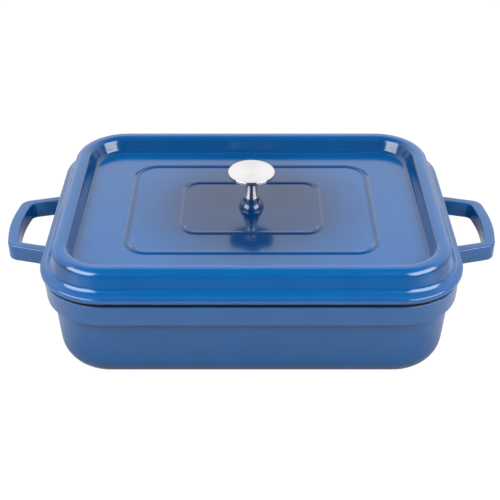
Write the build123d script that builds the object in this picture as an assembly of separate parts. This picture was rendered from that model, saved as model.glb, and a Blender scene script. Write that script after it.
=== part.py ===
from build123d import *
import os
from math import hypot

# Rectangular covered casserole in cast aluminium: a dish with two loop handles, an overhanging
# lid with a raised rim and two raised beads, and a turned steel knob held by one screw.
# Millimetres. +Z is up, +X runs handle to handle, and the origin is the centre of the base.

# ---- driving dimensions ----
OVERALL_LENGTH = 406.0          # over both loop handles
LID_LENGTH = 330.0              # the lid's flange along X
LID_DEPTH = 242.0               # the lid's flange along Y
LID_CORNER = 52.5               # plan radius of the flange's corners
SEAT_HEIGHT = 84.0              # top of the dish's rim, where the lid rests
RIM_RISE = 22.7                 # lid's rim crest above the seat
PANEL_RISE = 10.0               # lid's sunken panel above the seat
CASTING = 4.0                   # general wall thickness of both castings
PLATE_INSET = 40.0              # where the swept walls give way to flat plates
OVERLAP = 0.6                   # how far an added boss or bead reaches into the casting

# ---- dish ----
BAND_INSET = 2.2                # proud band's outer face, set in from the lid's edge
BAND_DRAFT = 0.5
BAND_BOTTOM = 61.2              # underside of the band
BAND_EDGE = (1.6, 0.5)          # rounding of its lower and upper edges
BARE_RIM = 4.4                  # uncoloured strip of rim above the band
BARE_INSET = 1.0                # strip's outer face, set in from the band
WALL_INSET = 7.8                # lower wall where it meets the band
WALL_DRAFT = 0.057              # set-in per millimetre of height
BASE_RADIUS = 22.0
FLOOR_THICKNESS = 4.5
FLOOR_RADIUS = 18.0
RIM_INNER = 7.6                 # inner face of the rim
RIM_DRAFT = 0.3
STEP_TOP = 69.2                 # inner face slopes in from the rim to the lower wall
STEP_BOTTOM = 60.2
STEP_ROUNDING = (2.0, 4.0)
EASE = 0.8                      # eased edges of both castings
SHARP_EASE = 0.3

# ---- loop handles ----
HANDLE_TOP = 78.7
HANDLE_THICKNESS = 14.2
HANDLE_EDGE = 1.1
ROOT_X = 160.0
GRIP_WIDTH = 9.4
GRIP_RISE = 5.0                 # how far the bowed grip's tangents meet past its corners
GRIP_BOW = 120.0                # radius of the bow at the grip's middle
OUTER_EDGE = (44.7, 34.1, 9.5)  # half width at the root, half width at the grip, corner radius
INNER_EDGE = (36.4, 29.0, 6.0)

# ---- lid ----
FLANGE_RISE = 4.4               # top of the flange's outer edge above the seat
FLANGE_ROUNDING = 1.8
WALL_FOOT = (6.6, 5.9, 6.0)     # rim's outer wall at the flange: inset, rise, fillet
WALL_HEAD = (11.2, 6.5)         # ... and at the crest: inset, fillet
RECESS_HEAD = (21.6, 5.5)       # rim's inner wall at the crest: inset, fillet
RECESS_FOOT = (26.9, 4.5)       # ... and at the sunken panel
HOLLOW_RISE = 9.0               # hollow under the rim: start of its slope above the seat
HOLLOW_HEAD = (15.2, 19.0)      # insets of the flat across its top
HOLLOW_FOOT = 24.3              # inset where it meets the panel's underside
HOLLOW_ROUNDING = (3.0, 1.2, 2.0)
SKIRT_GAP = 0.6                 # between the locating skirt and the dish's rim
SKIRT_DEPTH = 6.0
SKIRT_WIDTH = 3.3
SKIRT_EDGE = 1.0
BEAD_HALF_WIDTH = 2.7
BEAD_HEIGHT = 1.0
BEADS = [(99.7, 67.5, 18.0), (56.0, 39.4, 12.0)]    # half length, half depth, corner radius

# ---- boss, all on the Z axis from here on ----
BOSS_RISE = 10.4                # boss above the panel
BOSS_RADIUS = 10.6              # boss where it meets the panel
BOSS_FILLET = 0.6
BOSS_FILLET_REACH = 1.0
SHOULDER = (9.75, 5.5, 10.8)    # domed shoulder: radius, drop below the boss's top, rounding
COLLAR_RADIUS = 6.7             # small collar above the shoulder
COLLAR_HEIGHT = 2.8
COLLAR_DRAFT = 0.1

# ---- knob, screw, washers and seal ----
SCREW_RADIUS = 2.5
CLEARANCE_RADIUS = 2.75
THREAD_RADIUS = 2.55
POCKET_RADIUS = 7.5
POCKET_DEPTH = 6.0
SEAL_THICKNESS = 0.5
SEAL_RADIUS = 6.1
KNOB_HEIGHT = 23.6
KNOB_RADIUS = 19.05
KNOB_DISC = 3.2
KNOB_EDGE = 0.7
STEM_RADIUS = 6.35              # stem at its foot
WAIST = (4.85, 11.5)            # radius, height above the knob's base
NECK = (5.6, 1.2)               # radius, drop below the disc's underside
NECK_FLARE = 0.25
NECK_FILLET = 1.4
THREAD_DEPTH = 14.0
TIP_GAP = 2.0                   # left beyond the screw's tip
FLAT_WASHER = (6.5, 1.0)        # outer radius, thickness
LOCK_WASHER = (5.0, 1.2)
LOCK_WASHER_SPLIT = 0.9
LOCK_WASHER_TILT = 25.0
HEAD_RADIUS = 4.8
HEAD_HEIGHT = 3.3
HEAD_ROUNDING = 1.6
TIP_EASE = 0.6
RECESS_HALF = 2.6
RECESS_WIDTH = 1.1
RECESS_DEPTH = 1.8

HALF_X = LID_LENGTH / 2
HALF_Y = LID_DEPTH / 2
PANEL_TOP = SEAT_HEIGHT + PANEL_RISE
PANEL_BOTTOM = PANEL_TOP - CASTING
BOSS_TOP = PANEL_TOP + BOSS_RISE
KNOB_BASE = BOSS_TOP + SEAL_THICKNESS
POCKET_TOP = PANEL_BOTTOM + POCKET_DEPTH


def section(points):
    """Closed section from (inset, height, fillet radius) corners, inset measured towards -X."""
    corners = [(-inset, 0, height) for inset, height, _ in points]
    outline = FilletPolyline(*corners, radius=[radius for _, _, radius in points], close=True)
    return make_face(outline.edges())


def ring(face, half_x, half_y, corner):
    """Carry a section round a rounded rectangle: straight runs and quarter turns, mirrored."""
    side = extrude(Pos(half_x, 0, 0) * face, amount=half_y - corner, dir=(0, 1, 0))
    pivot = Axis((half_x - corner, half_y - corner, 0), (0, 0, 1))
    turn = revolve(Pos(half_x, half_y - corner, 0) * face, axis=pivot, revolution_arc=90)
    end = extrude(Pos(0, half_y, 0) * face.rotate(Axis.Z, 90), amount=half_x - corner, dir=(1, 0, 0))
    quarter = side + turn + end
    half = quarter + mirror(quarter, Plane.XZ)
    return half + mirror(half, Plane.YZ)


def plate(inset, bottom, top):
    """Flat plate filling the lid's outline from an inset inwards."""
    outline = RectangleRounded(LID_LENGTH - 2 * inset, LID_DEPTH - 2 * inset, LID_CORNER - inset)
    return extrude(Pos(0, 0, bottom) * outline, amount=top - bottom)


def turned(points):
    """Solid of revolution about Z from (radius, height, fillet radius) corners."""
    corners = [(radius, 0, height) for radius, height, _ in points]
    outline = FilletPolyline(*corners, radius=[fillet for _, _, fillet in points], close=True)
    return revolve(make_face(outline.edges()), axis=Axis.Z)


def tube(outer, inner, bottom, top):
    """Plain ring about Z."""
    return turned([(inner, bottom, 0), (outer, bottom, 0), (outer, top, 0), (inner, top, 0)])


def dish_section():
    """Wall of the dish: rounded base edge, tapered wall, proud band and stepped inner rim."""
    foot = WALL_INSET + WALL_DRAFT * BAND_BOTTOM
    band_top = SEAT_HEIGHT - BARE_RIM
    return section([
        (PLATE_INSET, 0, 0),
        (foot, 0, BASE_RADIUS),
        (WALL_INSET, BAND_BOTTOM, EASE),
        (BAND_INSET + BAND_DRAFT, BAND_BOTTOM, BAND_EDGE[0]),
        (BAND_INSET, band_top, BAND_EDGE[1]),
        (BAND_INSET + BARE_INSET, band_top, SHARP_EASE / 2),
        (BAND_INSET + BARE_INSET, SEAT_HEIGHT, EASE),
        (RIM_INNER, SEAT_HEIGHT, EASE),
        (RIM_INNER + RIM_DRAFT, STEP_TOP, STEP_ROUNDING[0]),
        (WALL_INSET + CASTING, STEP_BOTTOM, STEP_ROUNDING[1]),
        (foot + CASTING, FLOOR_THICKNESS, FLOOR_RADIUS),
        (PLATE_INSET, FLOOR_THICKNESS, 0),
    ])


def loop_outline(grip_x, root_half, grip_half, corner):
    """Plan of one edge of a loop handle: two splayed arms joined by a bowed grip."""
    flattening = GRIP_BOW * (hypot(1, GRIP_RISE / grip_half) - 1)
    end_x = grip_x + flattening - GRIP_RISE
    outline = FilletPolyline(
        (ROOT_X, -root_half), (end_x, -grip_half), (end_x + GRIP_RISE, 0),
        (end_x, grip_half), (ROOT_X, root_half),
        radius=[0, corner, GRIP_BOW, corner, 0], close=True,
    )
    return make_face(outline.edges())


def loop_handle():
    """One loop handle at the +X end, with eased edges."""
    grip_x = OVERALL_LENGTH / 2
    outer = loop_outline(grip_x, *OUTER_EDGE)
    inner = loop_outline(grip_x - GRIP_WIDTH, *INNER_EDGE)
    bar = extrude(outer - inner, amount=HANDLE_THICKNESS)
    level = bar.edges().filter_by(Axis.Z, reverse=True)
    bar = fillet([edge for edge in level if edge.center().X > ROOT_X + EASE], HANDLE_EDGE)
    return Pos(0, 0, HANDLE_TOP - HANDLE_THICKNESS) * bar


def make_dish():
    walls = ring(dish_section(), HALF_X, HALF_Y, LID_CORNER)
    handle = loop_handle()
    return walls + plate(PLATE_INSET, 0, FLOOR_THICKNESS) + handle + mirror(handle, Plane.YZ)


def lid_section():
    """Lid from its flange over the raised rim to the sunken panel, hollow beneath the rim."""
    crest = SEAT_HEIGHT + RIM_RISE
    skirt = RIM_INNER + SKIRT_GAP
    channel = skirt + SKIRT_WIDTH
    return section([
        (0, SEAT_HEIGHT, EASE),
        (0, SEAT_HEIGHT + FLANGE_RISE, FLANGE_ROUNDING),
        (WALL_FOOT[0], SEAT_HEIGHT + WALL_FOOT[1], WALL_FOOT[2]),
        (WALL_HEAD[0], crest, WALL_HEAD[1]),
        (RECESS_HEAD[0], crest, RECESS_HEAD[1]),
        (RECESS_FOOT[0], PANEL_TOP, RECESS_FOOT[1]),
        (PLATE_INSET, PANEL_TOP, 0),
        (PLATE_INSET, PANEL_BOTTOM, 0),
        (HOLLOW_FOOT, PANEL_BOTTOM, HOLLOW_ROUNDING[2]),
        (HOLLOW_HEAD[1], crest - CASTING, HOLLOW_ROUNDING[1]),
        (HOLLOW_HEAD[0], crest - CASTING, HOLLOW_ROUNDING[1]),
        (channel, SEAT_HEIGHT + HOLLOW_RISE, HOLLOW_ROUNDING[0]),
        (channel, SEAT_HEIGHT - SKIRT_DEPTH, SKIRT_EDGE),
        (skirt, SEAT_HEIGHT - SKIRT_DEPTH, SKIRT_EDGE),
        (skirt, SEAT_HEIGHT, 0),
    ])


def bead(half_x, half_y, corner):
    """Raised bead on the panel, an arc-topped strip centred on a rounded rectangle."""
    sunk = PANEL_TOP - OVERLAP
    left, right = (-BEAD_HALF_WIDTH, 0, PANEL_TOP), (BEAD_HALF_WIDTH, 0, PANEL_TOP)
    arc = ThreePointArc(left, (0, 0, PANEL_TOP + BEAD_HEIGHT), right)
    base = Polyline(right, (BEAD_HALF_WIDTH, 0, sunk), (-BEAD_HALF_WIDTH, 0, sunk), left)
    return ring(make_face(arc.edges() + base.edges()), half_x, half_y, corner)


def boss():
    """Boss under the knob: filleted foot, domed shoulder and a small collar."""
    return turned([
        (0, PANEL_TOP - OVERLAP, 0),
        (BOSS_RADIUS + BOSS_FILLET_REACH, PANEL_TOP - OVERLAP, 0),
        (BOSS_RADIUS + BOSS_FILLET_REACH, PANEL_TOP, 0),
        (BOSS_RADIUS, PANEL_TOP, BOSS_FILLET),
        (SHOULDER[0], BOSS_TOP - SHOULDER[1], SHOULDER[2]),
        (COLLAR_RADIUS + COLLAR_DRAFT, BOSS_TOP - COLLAR_HEIGHT, SHARP_EASE / 2),
        (COLLAR_RADIUS, BOSS_TOP, EASE),
        (0, BOSS_TOP, 0),
    ])


def make_lid():
    lid = ring(lid_section(), HALF_X, HALF_Y, LID_CORNER)
    lid += plate(PLATE_INSET, PANEL_BOTTOM, PANEL_TOP)
    lid += boss()
    for half_x, half_y, corner in BEADS:
        lid += bead(half_x, half_y, corner)
    lid -= Pos(0, 0, PANEL_BOTTOM) * Cylinder(POCKET_RADIUS, 2 * POCKET_DEPTH)
    lid -= Pos(0, 0, BOSS_TOP) * Cylinder(CLEARANCE_RADIUS, 4 * BOSS_RISE)
    return lid


def make_knob():
    """Turned knob: flat disc on a waisted stem, blind hole from below for the screw."""
    top = KNOB_BASE + KNOB_HEIGHT
    under = top - KNOB_DISC
    neck = (NECK[0], 0, under - NECK[1])
    foot = Polyline((0, 0, top), (0, 0, KNOB_BASE), (STEM_RADIUS, 0, KNOB_BASE))
    stem = ThreePointArc(foot @ 1, (WAIST[0], 0, KNOB_BASE + WAIST[1]), neck)
    cap = FilletPolyline(
        neck, (NECK[0] + NECK_FLARE, 0, under), (KNOB_RADIUS, 0, under),
        (KNOB_RADIUS, 0, top), (0, 0, top),
        radius=[NECK_FILLET, KNOB_EDGE, KNOB_EDGE],
    )
    knob = revolve(make_face(foot.edges() + stem.edges() + cap.edges()), axis=Axis.Z)
    return knob - Pos(0, 0, KNOB_BASE) * Cylinder(THREAD_RADIUS, 2 * THREAD_DEPTH)


def make_lock_washer(bottom):
    """Split washer, cut through on a slant."""
    radius, thickness = LOCK_WASHER
    slit = Box(2 * radius, LOCK_WASHER_SPLIT, 4 * thickness)
    washer = tube(radius, CLEARANCE_RADIUS, bottom, bottom + thickness)
    return washer - Pos(radius, 0, bottom) * Rot(0, LOCK_WASHER_TILT, 0) * slit


def make_screw(seat):
    """Pan-head screw from below: head under the washers, shank up into the knob."""
    tip = KNOB_BASE + THREAD_DEPTH - TIP_GAP
    head = seat - HEAD_HEIGHT
    screw = turned([
        (0, head, 0),
        (HEAD_RADIUS, head, HEAD_ROUNDING),
        (HEAD_RADIUS, seat, 0),
        (SCREW_RADIUS, seat, 0),
        (SCREW_RADIUS, tip, TIP_EASE),
        (0, tip, 0),
    ])
    slot = Box(2 * RECESS_HALF, RECESS_WIDTH, 2 * RECESS_DEPTH)
    cross = slot + slot.rotate(Axis.Z, 90)
    return screw - Pos(0, 0, head) * cross


os.makedirs("parts", exist_ok=True)

flat_bottom = POCKET_TOP - FLAT_WASHER[1]
lock_bottom = flat_bottom - LOCK_WASHER[1]

nodes = {
    "dish_body": make_dish(),
    "lid": make_lid(),
    "knob": make_knob(),
    "knob_seal": tube(SEAL_RADIUS, CLEARANCE_RADIUS, BOSS_TOP, KNOB_BASE),
    "flat_washer": tube(FLAT_WASHER[0], CLEARANCE_RADIUS, flat_bottom, POCKET_TOP),
    "lock_washer": make_lock_washer(lock_bottom),
    "knob_screw": make_screw(lock_bottom),
}
for name, shape in nodes.items():
    export_step(shape, f"parts/{name}.step")
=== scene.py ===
"""Covered casserole dish: enamelled castings, polished knob and fasteners, built round the CAD frame."""
import math

import bmesh
import bpy
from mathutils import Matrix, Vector


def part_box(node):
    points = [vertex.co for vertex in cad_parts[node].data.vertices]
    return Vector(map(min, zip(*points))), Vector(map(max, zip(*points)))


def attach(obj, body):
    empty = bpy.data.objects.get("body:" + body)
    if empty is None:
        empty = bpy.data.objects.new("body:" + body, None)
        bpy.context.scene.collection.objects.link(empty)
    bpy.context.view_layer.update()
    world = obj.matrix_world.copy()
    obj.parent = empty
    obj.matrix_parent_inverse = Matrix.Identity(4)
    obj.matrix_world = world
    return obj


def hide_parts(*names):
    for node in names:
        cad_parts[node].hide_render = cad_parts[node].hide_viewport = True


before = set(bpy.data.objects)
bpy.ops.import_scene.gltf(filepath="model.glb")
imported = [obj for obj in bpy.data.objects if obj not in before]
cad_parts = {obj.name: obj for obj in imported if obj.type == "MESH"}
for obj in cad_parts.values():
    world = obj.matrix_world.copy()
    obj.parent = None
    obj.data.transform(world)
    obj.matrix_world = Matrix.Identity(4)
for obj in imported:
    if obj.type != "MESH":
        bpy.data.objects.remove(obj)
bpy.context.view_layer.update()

MM = 0.001

# ---- places and sizes from the frame, in metres ----
dish_low, dish_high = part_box("dish_body")
lid_low, lid_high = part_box("lid")
knob_low, knob_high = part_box("knob")
seal_low, seal_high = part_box("knob_seal")
pocket_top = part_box("flat_washer")[1].z
HALF_X, HALF_Y = lid_high.x, lid_high.y
SEAT = dish_high.z
CREST = lid_high.z
PANEL_DROP = 12.7 * MM             # sunken panel, below the rim's crest
PANEL = CREST - PANEL_DROP
BOSS_TOP = seal_low.z

# ---- the castings' sections, in millimetres: inset from the lid's edge, height, fillet radius ----
CORNER = 52.5                      # lid's outer corner radius, in plan
LEAST_CORNER = 6.0
CASTING = 4.0                      # lid's wall
FLOOR = 4.5                        # dish's floor
FLAT_INSET = 40.0                  # where the walls have run out into flats
CENTRE_INSET = 110.0               # innermost ring of the dish's base and floor
BAND_BOTTOM = 61.2                 # underside of the dish's band
BAND_INSET = 2.2
BAND_FOOT = 2.7
WALL_INSET = 7.8                   # dish's lower wall under the band
WALL_SLOPE = 0.057                 # its draft: inset gained for each millimetre down
BASE_RADIUS = 22.0
BARE_RIM = 4.4                     # uncoloured strip above the band
BARE_INSET = 3.2
RIM_INNER = 7.6
SKIRT_GAP, SKIRT_WIDTH, SKIRT_DROP = 0.6, 3.3, 6.0
BEAD_PROFILE = [(-3.6, 0, 0), (-2.7, 0, 0.5), (0, 1.25, 2.4), (2.7, 0, 0.5), (3.6, 0, 0)]
BEADS = [(99.7, 67.5, 18.0), (56.0, 39.4, 12.0)]
BOSS_REACH = 17.0                  # where the boss has run out into the panel
POCKET_RADIUS = 7.5                # hollow for the screw's head
POCKET_REACH = 9.0
BOLT_RADIUS = 2.75

# ---- how finely the meshes are divided ----
CORNER_STEPS = 24
SUPPORT = 0.6                      # distance of a support point from its arc
ARC_STEP = math.radians(9)
CIRCLE_STRAIGHT = math.radians(16)
STRAIGHT_SHARES = (0.0, 0.012, 0.12, 0.34, 0.66, 0.88, 0.988)
BLUE, BARE = 0, 1                  # material slots of both castings


# ---- outlines ----
def corner_arc(before, here, after, radius, steps):
    """Points round the fillet of the corner at here, from the side of before to the side of after."""
    here = Vector(here)
    back = (Vector(before) - here).normalized()
    ahead = (Vector(after) - here).normalized()
    half = back.angle(ahead) / 2
    arm = back * (radius / math.tan(half))
    centre = here + (back + ahead).normalized() * radius / math.sin(half)
    start = here + arm - centre
    turn = math.copysign(math.pi - 2 * half, start.cross(here + ahead * arm.length - centre))
    points = []
    for k in range(steps + 1):
        c, s = math.cos(turn * k / steps), math.sin(turn * k / steps)
        points.append(centre + Vector((start.x * c - start.y * s, start.x * s + start.y * c)))
    return points


def fillet_path(points, closed=False):
    """Rounds the corners of a list of (u, v, radius) points, and adds support points beside each arc."""
    count = len(points)
    path = []
    for i, (u, v, radius) in enumerate(points):
        ends = not closed and i in (0, count - 1)
        if ends or radius == 0:
            path.append((Vector((u, v)), i))
            continue
        before, after = points[i - 1][:2], points[(i + 1) % count][:2]
        sweep = math.pi - (Vector(before) - Vector((u, v))).angle(Vector(after) - Vector((u, v)))
        steps = max(2, math.ceil(sweep / ARC_STEP))
        path += [(point, i) for point in corner_arc(before, (u, v), after, radius, steps)]
    return with_supports(path, closed)


def with_supports(path, closed):
    """Adds a point just inside each end of every long straight, so that flats shade flat."""
    out = []
    count = len(path)
    for i, (point, corner) in enumerate(path):
        out.append(tuple(point))
        if i == count - 1 and not closed:
            break
        following, next_corner = path[(i + 1) % count]
        span = following - point
        if corner != next_corner and span.length > 4 * SUPPORT:
            out.append(tuple(point + span.normalized() * SUPPORT))
            out.append(tuple(following - span.normalized() * SUPPORT))
    return out


def rounded_ring(half_x, half_y, radius, height):
    """One ring of points on a rounded rectangle, in metres, from the start of its first corner."""
    ring = []
    straight_x, straight_y = half_x - radius, half_y - radius
    corners = [(1, 1, 0), (-1, 1, 90), (-1, -1, 180), (1, -1, 270)]
    for i, (sign_x, sign_y, start) in enumerate(corners):
        centre = Vector((sign_x * straight_x, sign_y * straight_y, height))
        for k in range(CORNER_STEPS + 1):
            angle = math.radians(start + 90 * k / CORNER_STEPS)
            ring.append(centre + Vector((math.cos(angle), math.sin(angle), 0)) * radius)
        next_x, next_y, next_start = corners[(i + 1) % 4]
        angle = math.radians(start + 90)
        begin = ring[-1]
        arm = Vector((math.cos(angle), math.sin(angle), 0)) * radius
        end = Vector((next_x * straight_x, next_y * straight_y, height)) + arm
        ring += [begin.lerp(end, share) for share in STRAIGHT_SHARES[1:]]
    return ring


def round_ring(radius, height):
    """A circle whose points match those of rounded_ring, one for one."""
    ring = []
    for quarter in range(4):
        start = math.radians(90 * quarter) + CIRCLE_STRAIGHT
        sweep = math.pi / 2 - 2 * CIRCLE_STRAIGHT
        angles = [start + sweep * k / CORNER_STEPS for k in range(CORNER_STEPS + 1)]
        angles += [start + sweep + 2 * CIRCLE_STRAIGHT * share for share in STRAIGHT_SHARES[1:]]
        ring += [Vector((math.cos(a) * radius, math.sin(a) * radius, height)) for a in angles]
    return ring


def inset_ring(inset, height):
    """The ring at an inset (mm) from the lid's edge and a height in metres."""
    step = inset * MM
    corner = max(CORNER - inset, LEAST_CORNER) * MM
    return rounded_ring(HALF_X - step, HALF_Y - step, corner, height)


# ---- meshes ----
def loft(name, rings, bands, closed):
    """Joins matched rings with quads. bands gives the material index of each strip."""
    mesh = bmesh.new()
    rows = [[mesh.verts.new(p) for p in ring] for ring in rings]
    count = len(rows[0])
    pairs = list(zip(rows, rows[1:]))
    if closed:
        pairs.append((rows[-1], rows[0]))
    for (lower, upper), band in zip(pairs, bands):
        for i in range(count):
            face = mesh.faces.new((lower[i], lower[(i + 1) % count], upper[(i + 1) % count], upper[i]))
            face.material_index = band
    if not closed:
        mesh.faces.new(reversed(rows[0])).material_index = bands[0]
        mesh.faces.new(rows[-1]).material_index = bands[-1]
    bmesh.ops.recalc_face_normals(mesh, faces=mesh.faces)
    return to_object(name, mesh)


def to_object(name, mesh):
    data = bpy.data.meshes.new(name)
    mesh.to_mesh(data)
    mesh.free()
    for polygon in data.polygons:
        polygon.use_smooth = True
    made = bpy.data.objects.new(name, data)
    bpy.context.scene.collection.objects.link(made)
    return made


def turned(name, profile, steps):
    """Lathe: profile is (radius, height) in millimetres, closed on the axis at both ends."""
    mesh = bmesh.new()
    rows = []
    for radius, height in profile:
        if radius < 1e-6:
            rows.append([mesh.verts.new((0, 0, height * MM))])
            continue
        rows.append([
            mesh.verts.new((math.cos(a) * radius * MM, math.sin(a) * radius * MM, height * MM))
            for a in (2 * math.pi * k / steps for k in range(steps))
        ])
    for lower, upper in zip(rows, rows[1:]):
        for i in range(steps):
            j = (i + 1) % steps
            below = (lower[i % len(lower)], lower[j % len(lower)])
            above = (upper[j % len(upper)], upper[i % len(upper)])
            mesh.faces.new(list(dict.fromkeys(below + above)))
    bmesh.ops.recalc_face_normals(mesh, faces=mesh.faces)
    return to_object(name, mesh)


def lid_rings():
    """The lid's closed section as rings: from the bolt hole over the top, and back beneath."""
    rings, bands = [], []

    def add(ring, band):
        rings.append(ring)
        bands.append(band)

    boss_top = BOSS_TOP / MM
    panel = PANEL / MM
    boss = fillet_path([
        (BOLT_RADIUS, boss_top, 0), (6.7, boss_top, 0.5), (6.8, boss_top - 2.8, 0.15),
        (9.75, boss_top - 5.5, 10.8), (10.6, panel, 0.6), (BOSS_REACH, panel, 0),
    ])
    for radius, height in boss:
        add(round_ring(radius * MM, height * MM), BLUE)
    for half_x, half_y, corner in reversed(BEADS):
        for offset, rise in fillet_path(BEAD_PROFILE):
            sizes = [(size + offset) * MM for size in (half_x, half_y, corner)]
            add(rounded_ring(*sizes, PANEL + rise * MM), BLUE)
    seat, crest = SEAT / MM, CREST / MM
    outer = fillet_path([
        (FLAT_INSET, panel, 0), (26.9, panel, 4.5), (21.6, crest, 5.5), (11.2, crest, 6.5),
        (6.6, seat + 5.9, 6.0), (0, seat + 4.4, 1.8), (0, seat, 0.7), (4, seat, 0),
    ])
    for inset, height in outer:
        add(inset_ring(inset, height * MM), BLUE)
    skirt = RIM_INNER + SKIRT_GAP
    channel = skirt + SKIRT_WIDTH
    under = panel - CASTING
    inner = fillet_path([
        (4.2, seat, 0), (skirt, seat, 0.4), (skirt, seat - SKIRT_DROP, 1.0),
        (channel, seat - SKIRT_DROP, 1.0), (channel, seat + 9, 3.0), (15.2, crest - CASTING, 1.2),
        (19.0, crest - CASTING, 1.2), (24.3, under, 2.0), (FLAT_INSET, under, 0),
    ])
    for inset, height in inner:
        add(inset_ring(inset, height * MM), BARE)
    pocket = fillet_path([
        (POCKET_RADIUS + POCKET_REACH, under, 0), (POCKET_RADIUS, under, 0.6),
        (POCKET_RADIUS, pocket_top / MM, 0.4), (BOLT_RADIUS, pocket_top / MM, 0),
    ])
    for radius, height in pocket:
        add(round_ring(radius * MM, height * MM), BARE)
    bands[-1] = BARE
    return rings, bands


def make_lid():
    rings, bands = lid_rings()
    lid = loft("lid_casting", rings, bands, closed=True)
    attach(lid, "cover")
    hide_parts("lid")
    return lid


def dish_rings():
    """The dish's section as rings: from the middle of the base, up the outside and down the inside."""
    seat = SEAT / MM
    foot = WALL_INSET + WALL_SLOPE * BAND_BOTTOM
    bare_from = seat - BARE_RIM
    outside = fillet_path([
        (FLAT_INSET, 0, 0), (foot, 0, BASE_RADIUS), (WALL_INSET, BAND_BOTTOM, 0.8),
        (BAND_FOOT, BAND_BOTTOM, 1.6), (BAND_INSET, bare_from, 0.5), (BARE_INSET, bare_from, 0),
    ])
    inside = fillet_path([
        (BARE_INSET + 0.05, bare_from + 0.05, 0), (BARE_INSET, seat, 0.6), (RIM_INNER, seat, 0.8),
        (RIM_INNER + 0.3, BAND_BOTTOM + 8, 2.0), (WALL_INSET + CASTING, BAND_BOTTOM - 1, 4.0),
        (foot + CASTING, FLOOR, BASE_RADIUS - CASTING), (FLAT_INSET, FLOOR, 0),
    ])
    rings = [inset_ring(CENTRE_INSET, 0)]
    rings += [inset_ring(inset, height * MM) for inset, height in outside]
    bands = [BLUE] * len(rings)
    rings += [inset_ring(inset, height * MM) for inset, height in inside]
    rings.append(inset_ring(CENTRE_INSET, FLOOR * MM))
    bands += [BARE] * (len(rings) - len(bands))
    return rings, bands


# ---- loop handles ----
ROOT_X = 160.0                     # where a loop starts, inside the dish's wall
WALL_X = 162.75                    # face of the band beside it
HANDLE_TOP = 78.7
HANDLE_THICKNESS = 14.2
HANDLE_EDGE = 1.2
GRIP_WIDTH = 9.4
GRIP_RISE, GRIP_BOW = 5.0, 120.0   # how far the bowed grip's tangents meet past its corners, its radius
OUTER_EDGE = (44.7, 34.1, 9.5)     # half width at the root, half width at the grip, corner radius
INNER_EDGE = (36.4, 29.0, 6.0)
ROOT_FILLET = 3.0
TURN_STEPS, BOW_STEPS, ARM_STEPS, FLAT_STEPS, EDGE_STEPS = 14, 12, 16, 4, 6


def half_loop(grip_x, root_half, grip_half, corner):
    """One edge of half a loop in plan: the arm, its corner, then the bowed grip as far as its middle."""
    end_x = grip_x - GRIP_RISE + GRIP_BOW * (math.hypot(1, GRIP_RISE / grip_half) - 1)
    root, bend = Vector((ROOT_X, root_half)), Vector((end_x, grip_half))
    apex = Vector((end_x + GRIP_RISE, 0))
    turn = corner_arc(root, bend, apex, corner, TURN_STEPS)
    bow = corner_arc(bend, apex, (end_x, -grip_half), GRIP_BOW, BOW_STEPS)[:BOW_STEPS // 2 + 1]
    arm = [root.lerp(turn[0], k / ARM_STEPS) for k in range(ARM_STEPS)]
    flat = [turn[-1].lerp(bow[0], k / FLAT_STEPS) for k in range(1, FLAT_STEPS)]
    return arm + turn + flat + bow


def flare(distance):
    """How far a root fillet stands out at a distance from the wall."""
    if distance >= ROOT_FILLET:
        return 0.0
    rest = ROOT_FILLET - max(distance, 0.0)
    return ROOT_FILLET - math.sqrt(max(ROOT_FILLET ** 2 - rest ** 2, 0.0))


def bar_section(outer, inner, grow):
    """Rounded-rectangle section between two plan points, as points in mm."""
    middle = (outer + inner) / 2
    across = (outer - inner).normalized()
    half_width = (outer - inner).length / 2 + grow
    half_height = HANDLE_THICKNESS / 2 + grow
    level = HANDLE_TOP - HANDLE_THICKNESS / 2
    points = []
    edge = HANDLE_EDGE
    for sign_u, sign_v, start in ((1, 1, 0), (-1, 1, 90), (-1, -1, 180), (1, -1, 270)):
        for k in range(EDGE_STEPS + 1):
            angle = math.radians(start + 90 * k / EDGE_STEPS)
            u = sign_u * (half_width - edge) + math.cos(angle) * edge
            v = sign_v * (half_height - edge) + math.sin(angle) * edge
            points.append(Vector((middle.x + across.x * u, middle.y + across.y * u, level + v)) * MM)
    return points


def add_handle(mesh, side):
    grip_x = dish_high.x / MM
    outer = half_loop(grip_x, *OUTER_EDGE)
    inner = half_loop(grip_x - GRIP_WIDTH, *INNER_EDGE)
    stations = list(zip(outer, inner))
    mirrored = [(Vector((o.x, -o.y)), Vector((i.x, -i.y))) for o, i in reversed(stations[:-1])]
    rows = []
    for o, i in stations + mirrored:
        grow = flare(min(o.x, i.x) - WALL_X)
        rows.append([mesh.verts.new((side * p.x, p.y, p.z)) for p in bar_section(o, i, grow)])
    count = len(rows[0])
    faces = []
    for lower, upper in zip(rows, rows[1:]):
        for i in range(count):
            j = (i + 1) % count
            faces.append(mesh.faces.new((lower[i], lower[j], upper[j], upper[i])))
    faces.append(mesh.faces.new(rows[0]))
    faces.append(mesh.faces.new(rows[-1]))
    bmesh.ops.recalc_face_normals(mesh, faces=faces)
    for face in faces:
        face.material_index = BLUE


def make_dish():
    rings, bands = dish_rings()
    dish = loft("dish_casting", rings, bands, closed=False)
    mesh = bmesh.new()
    mesh.from_mesh(dish.data)
    for side in (1, -1):
        add_handle(mesh, side)
    mesh.to_mesh(dish.data)
    mesh.free()
    for polygon in dish.data.polygons:
        polygon.use_smooth = True
    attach(dish, "dish")
    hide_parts("dish_body")
    return dish


# ---- knob ----
KNOB_DISC = 3.2
KNOB_EDGE = 0.7
KNOB_FOOT = [(0, 0), (6.1, 0), (6.25, 0), (6.31, 0.03), (6.34, 0.1)]
STEM_FOOT = (6.34, 0.2)            # radius, height above the knob's base
WAIST = (4.85, 11.5)
NECK = (5.6, 1.2)                  # radius, drop below the disc
NECK_FILLET = (5.85, 1.4)          # where the fillet under the disc turns, its radius
STEM_STEPS, KNOB_STEPS = 22, 128


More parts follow.
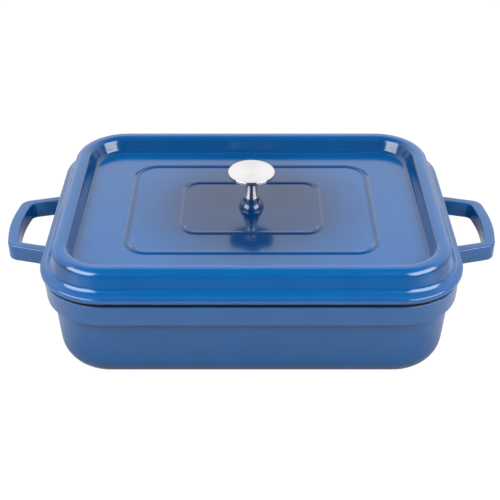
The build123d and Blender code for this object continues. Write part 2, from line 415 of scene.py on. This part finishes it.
def make_knob():
    base, top = knob_low.z / MM, knob_high.z / MM
    radius = knob_high.x / MM
    under = top - KNOB_DISC
    turn, fillet = NECK_FILLET
    neck = (NECK[0], under - NECK[1])
    stem = smooth_curve([(STEM_FOOT[0], base + STEM_FOOT[1]), (WAIST[0], base + WAIST[1]), neck], STEM_STEPS)
    cap = fillet_path([
        (*neck, 0), (turn, under, fillet), (radius, under, KNOB_EDGE), (radius, top, KNOB_EDGE), (3, top, 0),
    ])
    foot = [(r, base + rise) for r, rise in KNOB_FOOT]
    knob = turned("knob_polished", foot + stem + cap[1:] + [(0, top)], KNOB_STEPS)
    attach(knob, "cover")
    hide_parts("knob")
    return knob


def smooth_curve(points, steps):
    """Circle arc through three (radius, height) points."""
    (x1, y1), (x2, y2), (x3, y3) = points
    d = 2 * (x1 * (y2 - y3) + x2 * (y3 - y1) + x3 * (y1 - y2))
    ux = ((x1**2 + y1**2) * (y2 - y3) + (x2**2 + y2**2) * (y3 - y1) + (x3**2 + y3**2) * (y1 - y2)) / d
    uy = ((x1**2 + y1**2) * (x3 - x2) + (x2**2 + y2**2) * (x1 - x3) + (x3**2 + y3**2) * (x2 - x1)) / d
    centre = Vector((ux, uy))
    start = math.atan2(y1 - uy, x1 - ux) % (2 * math.pi)
    stop = math.atan2(y3 - uy, x3 - ux) % (2 * math.pi)
    radius = (Vector((x1, y1)) - centre).length
    angles = [start + (stop - start) * k / steps for k in range(steps + 1)]
    return [(ux + radius * math.cos(a), uy + radius * math.sin(a)) for a in angles]


# ---- materials ----
SHADE_REACH = 0.11                 # how far from the boss the painted shade on the lid's panel reaches, in metres
RECESS_SCALE = (1 / 0.149, 1 / 0.105, 1 / MM)  # to the rim's crest as 1, and height in millimetres
ENAMEL_BLUE = ((0.0004, 0.0380, 0.128), (0.0006, 0.0435, 0.141))
# painted shade: the lid's enamel is darkened towards this blue round the boss and on what stands above the
# panel inside the rim
PAINTED_SHADE_BLUE = (0.0003, 0.0135, 0.052)
# shares of the painted shade: AWAY_LEVELS leaves the enamel unshaded by distance from the boss, WALL_LEVELS
# darkens it by height above the panel inside the rim
AWAY_LEVELS = ((0.4, 0.0), (0.55, 0.15), (0.75, 0.6), (1.0, 1.0))
WALL_LEVELS = ((0.05, 0.0), (0.3, 0.6), (1.1, 0.6), (1.6, 0.5), (9.5, 0.5), (12.4, 0.0))


def new_material(name):
    material = bpy.data.materials.new(name)
    material.use_nodes = True
    tree = material.node_tree
    shader = tree.nodes["Principled BSDF"]
    return material, tree, shader


def noise(tree, scale, detail=2.0, roughness=0.5):
    node = tree.nodes.new("ShaderNodeTexNoise")
    node.inputs["Scale"].default_value = scale
    node.inputs["Detail"].default_value = detail
    node.inputs["Roughness"].default_value = roughness
    coordinates = tree.nodes.new("ShaderNodeTexCoord")
    tree.links.new(coordinates.outputs["Object"], node.inputs["Vector"])
    return node


def ramp(tree, source, low, high, start=0.3, stop=0.7):
    node = tree.nodes.new("ShaderNodeMapRange")
    node.inputs["From Min"].default_value = start
    node.inputs["From Max"].default_value = stop
    node.inputs["To Min"].default_value = low
    node.inputs["To Max"].default_value = high
    tree.links.new(source, node.inputs["Value"])
    return node.outputs["Result"]


def mix_colour(tree, share, first, second):
    node = tree.nodes.new("ShaderNodeMix")
    node.data_type = "RGBA"
    node.inputs["A"].default_value = (*first, 1)
    node.inputs["B"].default_value = (*second, 1)
    tree.links.new(share, node.inputs["Factor"])
    return node.outputs["Result"]


def bump(tree, shader, height, distance, strength):
    node = tree.nodes.new("ShaderNodeBump")
    node.inputs["Distance"].default_value = distance
    node.inputs["Strength"].default_value = strength
    tree.links.new(height, node.inputs["Height"])
    tree.links.new(node.outputs["Normal"], shader.inputs["Normal"])
    return node


def vector_math(tree, operation, first, second=None):
    node = tree.nodes.new("ShaderNodeVectorMath")
    node.operation = operation
    for socket, value in zip(node.inputs, (first, second)):
        if isinstance(value, tuple):
            socket.default_value = value
        elif value is not None:
            tree.links.new(value, socket)
    return node.outputs["Value" if operation == "LENGTH" else "Vector"]


def stops(tree, source, low, high, levels):
    """Piecewise ramp over source, from (value, level) pairs between low and high."""
    node = tree.nodes.new("ShaderNodeValToRGB")
    elements = node.color_ramp.elements
    for k, (value, level) in enumerate(levels):
        place = (value - low) / (high - low)
        element = elements[k] if k < 2 else elements.new(place)
        element.position = place
        element.color = (level, level, level, 1)
    tree.links.new(ramp(tree, source, 0.0, 1.0, low, high), node.inputs["Fac"])
    return node.outputs["Color"]


def object_place(tree):
    return tree.nodes.new("ShaderNodeTexCoord").outputs["Object"]


def math_node(tree, operation, first, second):
    node = tree.nodes.new("ShaderNodeMath")
    node.operation = operation
    for socket, value in zip(node.inputs, (first, second)):
        if isinstance(value, (int, float)):
            socket.default_value = value
        else:
            tree.links.new(value, socket)
    return node.outputs["Value"]


def painted_shade_mask(tree):
    """1 where the lid's enamel is unshaded, falling to 0 where its painted shade is darkest: round the boss,
    and on the beads, boss and recess walls inside the rim.
    """
    place = object_place(tree)
    flat = vector_math(tree, "MULTIPLY", place, (1 / SHADE_REACH, 1.1 / SHADE_REACH, 0.0))
    away = stops(tree, vector_math(tree, "LENGTH", flat), 0.0, 1.2, AWAY_LEVELS)
    sides = tree.nodes.new("ShaderNodeSeparateXYZ")
    scaled = vector_math(tree, "MULTIPLY", vector_math(tree, "ABSOLUTE", place), RECESS_SCALE)
    tree.links.new(scaled, sides.inputs["Vector"])
    furthest = math_node(tree, "MAXIMUM", sides.outputs["X"], sides.outputs["Y"])
    inside = math_node(tree, "LESS_THAN", furthest, 1.0)
    height = math_node(tree, "SUBTRACT", sides.outputs["Z"], PANEL / MM)
    wall = stops(tree, height, 0.0, 13.0, WALL_LEVELS)
    # painted shade on everything raised above the panel inside the rim: beads, boss and the recess's walls
    unshaded_wall = math_node(tree, "SUBTRACT", 1.0, math_node(tree, "MULTIPLY", wall, inside))
    return math_node(tree, "MULTIPLY", away, unshaded_wall)


def enamel(name, shade_mask=None):
    """Glossy cobalt enamel, slightly mottled, with a faint orange peel. The optional second argument builds
    a mask of painted shade, which darkens the colour where it is 0.
    """
    material, tree, shader = new_material(name)
    mottle = noise(tree, 38.0, 3.0)
    share = ramp(tree, mottle.outputs["Fac"], 0.0, 1.0)
    colour = mix_colour(tree, share, *ENAMEL_BLUE)
    if shade_mask:
        # painted shade: where the mask falls to 0 the colour turns to the darker shade blue
        painted_shade = tree.nodes.new("ShaderNodeMix")
        painted_shade.data_type = "RGBA"
        painted_shade.inputs["A"].default_value = (*PAINTED_SHADE_BLUE, 1)
        tree.links.new(shade_mask(tree), painted_shade.inputs["Factor"])
        tree.links.new(colour, painted_shade.inputs["B"])
        colour = painted_shade.outputs["Result"]
    tree.links.new(colour, shader.inputs["Base Color"])
    grain = noise(tree, 900.0, 2.0)
    tree.links.new(ramp(tree, grain.outputs["Fac"], 0.13, 0.17), shader.inputs["Roughness"])
    peel = noise(tree, 130.0, 1.0)
    bump(tree, shader, peel.outputs["Fac"], 0.00006, 0.08)
    shader.inputs["IOR"].default_value = 1.5
    return material


def nonstick():
    material, tree, shader = new_material("black_nonstick")
    speck = noise(tree, 1400.0, 3.0, 0.7)
    share = ramp(tree, speck.outputs["Fac"], 0.0, 1.0, 0.55, 0.75)
    colour = mix_colour(tree, share, (0.002, 0.0022, 0.003), (0.008, 0.0085, 0.010))
    tree.links.new(colour, shader.inputs["Base Color"])
    tree.links.new(ramp(tree, speck.outputs["Fac"], 0.36, 0.5), shader.inputs["Roughness"])
    bump(tree, shader, speck.outputs["Fac"], 0.00006, 0.4)
    shader.inputs["Specular IOR Level"].default_value = 0.1
    return material


def polished_steel():
    """Turned and polished: the lathe's marks run round the axis and spread reflections up and down."""
    material, tree, shader = new_material("polished_steel")
    smear = noise(tree, 60.0, 3.0)
    colour = mix_colour(tree, smear.outputs["Fac"], (0.49, 0.475, 0.48), (0.53, 0.515, 0.52))
    tree.links.new(colour, shader.inputs["Base Color"])
    shader.inputs["Metallic"].default_value = 1.0
    tree.links.new(ramp(tree, smear.outputs["Fac"], 0.20, 0.26), shader.inputs["Roughness"])
    shader.inputs["Anisotropic"].default_value = 0.85
    shader.inputs["Anisotropic Rotation"].default_value = 0.25
    tangent = tree.nodes.new("ShaderNodeTangent")
    tangent.direction_type = "RADIAL"
    tangent.axis = "Z"
    tree.links.new(tangent.outputs["Tangent"], shader.inputs["Tangent"])
    return material


def fastener_steel():
    material, tree, shader = new_material("zinc_steel")
    grain = noise(tree, 700.0, 4.0)
    colour = mix_colour(tree, grain.outputs["Fac"], (0.45, 0.45, 0.46), (0.66, 0.66, 0.67))
    tree.links.new(colour, shader.inputs["Base Color"])
    shader.inputs["Metallic"].default_value = 1.0
    tree.links.new(ramp(tree, grain.outputs["Fac"], 0.26, 0.42), shader.inputs["Roughness"])
    bump(tree, shader, grain.outputs["Fac"], 0.00004, 0.3)
    return material


def black_rubber():
    material, tree, shader = new_material("black_rubber")
    grain = noise(tree, 2200.0, 3.0)
    colour = mix_colour(tree, grain.outputs["Fac"], (0.012, 0.012, 0.013), (0.03, 0.03, 0.032))
    tree.links.new(colour, shader.inputs["Base Color"])
    tree.links.new(ramp(tree, grain.outputs["Fac"], 0.6, 0.8), shader.inputs["Roughness"])
    return material


def paint(piece, *materials):
    """Fills a piece's material slots in order, keeping which faces use which slot."""
    slots = piece.data.materials
    for k, material in enumerate(materials):
        if k < len(slots):
            slots[k] = material
        else:
            slots.append(material)


# ---- studio ----
BACKDROP = 1.75                    # strength of the lit backdrop in reflections
FOOTPRINT = (0.150, 0.106, 1.0)    # half size of the base, for the painted shadow on the floor round it
FLOOR_DROP = 0.0004
BEHIND_LEVELS = ((-0.3, 0.04), (-0.1, 0.3), (0.05, 0.72), (0.4, 1.0))
ABOVE_LEVELS = ((0.73, 1.0), (0.82, 0.48), (0.91, 0.24), (0.97, 0.11))
# painted shadow and shade on the floor: its colour by gap from the base, darkest at the base, and by
# distance forward, darker towards the front
CONTACT_SHADOW_LEVELS = ((0.0, 0.19), (0.02, 0.23), (0.045, 0.33), (0.09, 0.42))
FRONT_SHADE_LEVELS = ((-0.95, 0.12), (-0.45, 1.0))
SIDE = 52                          # lamps' azimuth, left and right
LAMP_SIZE = (0.83, 0.54)
LAMP_DISTANCE = 1.0
GLOSS_ELEVATION, GLOSS_WATTS = 27, 14
FILL_ELEVATION, FILL_WATTS = 40, 21


def make_world():
    """White seen directly; in reflections a lit backdrop behind the object, dark above and in front."""
    world = bpy.data.worlds.new("studio")
    bpy.context.scene.world = world
    world.use_nodes = True
    tree = world.node_tree
    tree.nodes.clear()
    output = tree.nodes.new("ShaderNodeOutputWorld")
    coordinates = tree.nodes.new("ShaderNodeTexCoord")
    split = tree.nodes.new("ShaderNodeSeparateXYZ")
    tree.links.new(coordinates.outputs["Generated"], split.inputs["Vector"])
    behind = stops(tree, split.outputs["Y"], -1, 1, BEHIND_LEVELS)
    above = stops(tree, split.outputs["Z"], 0, 1, ABOVE_LEVELS)
    seen = tree.nodes.new("ShaderNodeBackground")
    reflected = tree.nodes.new("ShaderNodeBackground")
    seen.inputs["Color"].default_value = (1, 1, 1, 1)
    seen.inputs["Strength"].default_value = 1.05
    reflected.inputs["Strength"].default_value = BACKDROP
    tree.links.new(vector_math(tree, "MULTIPLY", behind, above), reflected.inputs["Color"])
    path = tree.nodes.new("ShaderNodeLightPath")
    choose = tree.nodes.new("ShaderNodeMixShader")
    tree.links.new(path.outputs["Is Camera Ray"], choose.inputs["Fac"])
    tree.links.new(reflected.outputs["Background"], choose.inputs[1])
    tree.links.new(seen.outputs["Background"], choose.inputs[2])
    tree.links.new(choose.outputs["Shader"], output.inputs["Surface"])


def softbox(name, azimuth, elevation, watts, fill=False):
    """Rectangular area light aimed at the object. Azimuth 0 is in front, positive to the right.

    A fill lights the colour alone, and the others make the reflections.
    """
    data = bpy.data.lights.new(name, "AREA")
    data.shape = "RECTANGLE"
    data.size, data.size_y = LAMP_SIZE
    data.energy = watts
    light = bpy.data.objects.new(name, data)
    bpy.context.scene.collection.objects.link(light)
    a, e = math.radians(azimuth), math.radians(elevation)
    aim = Vector((0, 0, 0.07))
    back = Vector((math.sin(a) * math.cos(e), -math.cos(a) * math.cos(e), math.sin(e)))
    light.location = aim + back * LAMP_DISTANCE
    light.rotation_mode = "QUATERNION"
    light.rotation_quaternion = back.to_track_quat("Z", "Y")
    light.visible_camera = False
    light.visible_glossy = not fill
    light.visible_diffuse = fill


def make_floor():
    """Pale floor: its colour is darkened round the base as a painted shadow and towards the front as painted
    shade; lit and shaded in reflections, and nearly plain white seen directly, with a faint shadow that is
    partly cast and partly painted.
    """
    mesh = bmesh.new()
    bmesh.ops.create_grid(mesh, x_segments=1, y_segments=1, size=6.0)
    floor = to_object("floor", mesh)
    material, tree, shader = new_material("pale_floor")
    place = object_place(tree)
    beyond = vector_math(tree, "SUBTRACT", vector_math(tree, "ABSOLUTE", place), FOOTPRINT)
    gap = vector_math(tree, "LENGTH", vector_math(tree, "MAXIMUM", beyond, (0, 0, 0)))
    contact_shadow = stops(tree, gap, 0.0, 0.1, CONTACT_SHADOW_LEVELS)
    split = tree.nodes.new("ShaderNodeSeparateXYZ")
    tree.links.new(place, split.inputs["Vector"])
    front = stops(tree, split.outputs["Y"], -1.2, 0.0, FRONT_SHADE_LEVELS)
    # painted shadow round the base and painted shade towards the front, multiplied into the floor's colour
    tree.links.new(vector_math(tree, "MULTIPLY", contact_shadow, front), shader.inputs["Base Color"])
    shader.inputs["Roughness"].default_value = 0.9
    glow = tree.nodes.new("ShaderNodeEmission")
    glow.inputs["Strength"].default_value = 1.06
    faint = tree.nodes.new("ShaderNodeMixShader")
    faint.inputs["Fac"].default_value = 0.92
    choose = tree.nodes.new("ShaderNodeMixShader")
    path = tree.nodes.new("ShaderNodeLightPath")
    output = tree.nodes["Material Output"]
    tree.links.new(shader.outputs["BSDF"], faint.inputs[1])
    tree.links.new(glow.outputs["Emission"], faint.inputs[2])
    tree.links.new(path.outputs["Is Camera Ray"], choose.inputs["Fac"])
    tree.links.new(shader.outputs["BSDF"], choose.inputs[1])
    tree.links.new(faint.outputs["Shader"], choose.inputs[2])
    tree.links.new(choose.outputs["Shader"], output.inputs["Surface"])
    paint(floor, material)
    floor.location.z = -FLOOR_DROP


def make_camera():
    data = bpy.data.cameras.new("camera")
    data.sensor_width = 36.0
    data.lens = 72.84
    camera = bpy.data.objects.new("camera", data)
    bpy.context.scene.collection.objects.link(camera)
    camera.location = (-0.0012, -0.7168, 0.5429)
    camera.rotation_euler = (math.radians(90 - 34.49), 0, 0)
    bpy.context.scene.camera = camera


make_camera()
make_world()
make_floor()
for side, azimuth in (("left", -SIDE), ("right", SIDE)):
    softbox(f"softbox_{side}", azimuth, GLOSS_ELEVATION, GLOSS_WATTS)
    softbox(f"fill_{side}", azimuth, FILL_ELEVATION, FILL_WATTS, fill=True)

dish_blue = enamel("cobalt_enamel")
# the lid's enamel carries painted shade round the boss and on the raised parts inside the rim
lid_blue = enamel("cobalt_enamel_lid_painted_shade", painted_shade_mask)
bare, steel, zinc, rubber = nonstick(), polished_steel(), fastener_steel(), black_rubber()
paint(make_dish(), dish_blue, bare)
paint(make_lid(), lid_blue, bare)
paint(make_knob(), steel)
for node in ("flat_washer", "lock_washer", "knob_screw"):
    paint(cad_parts[node], zinc)
paint(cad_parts["knob_seal"], rubber)
bpy.context.scene.view_settings.view_transform = "Standard"
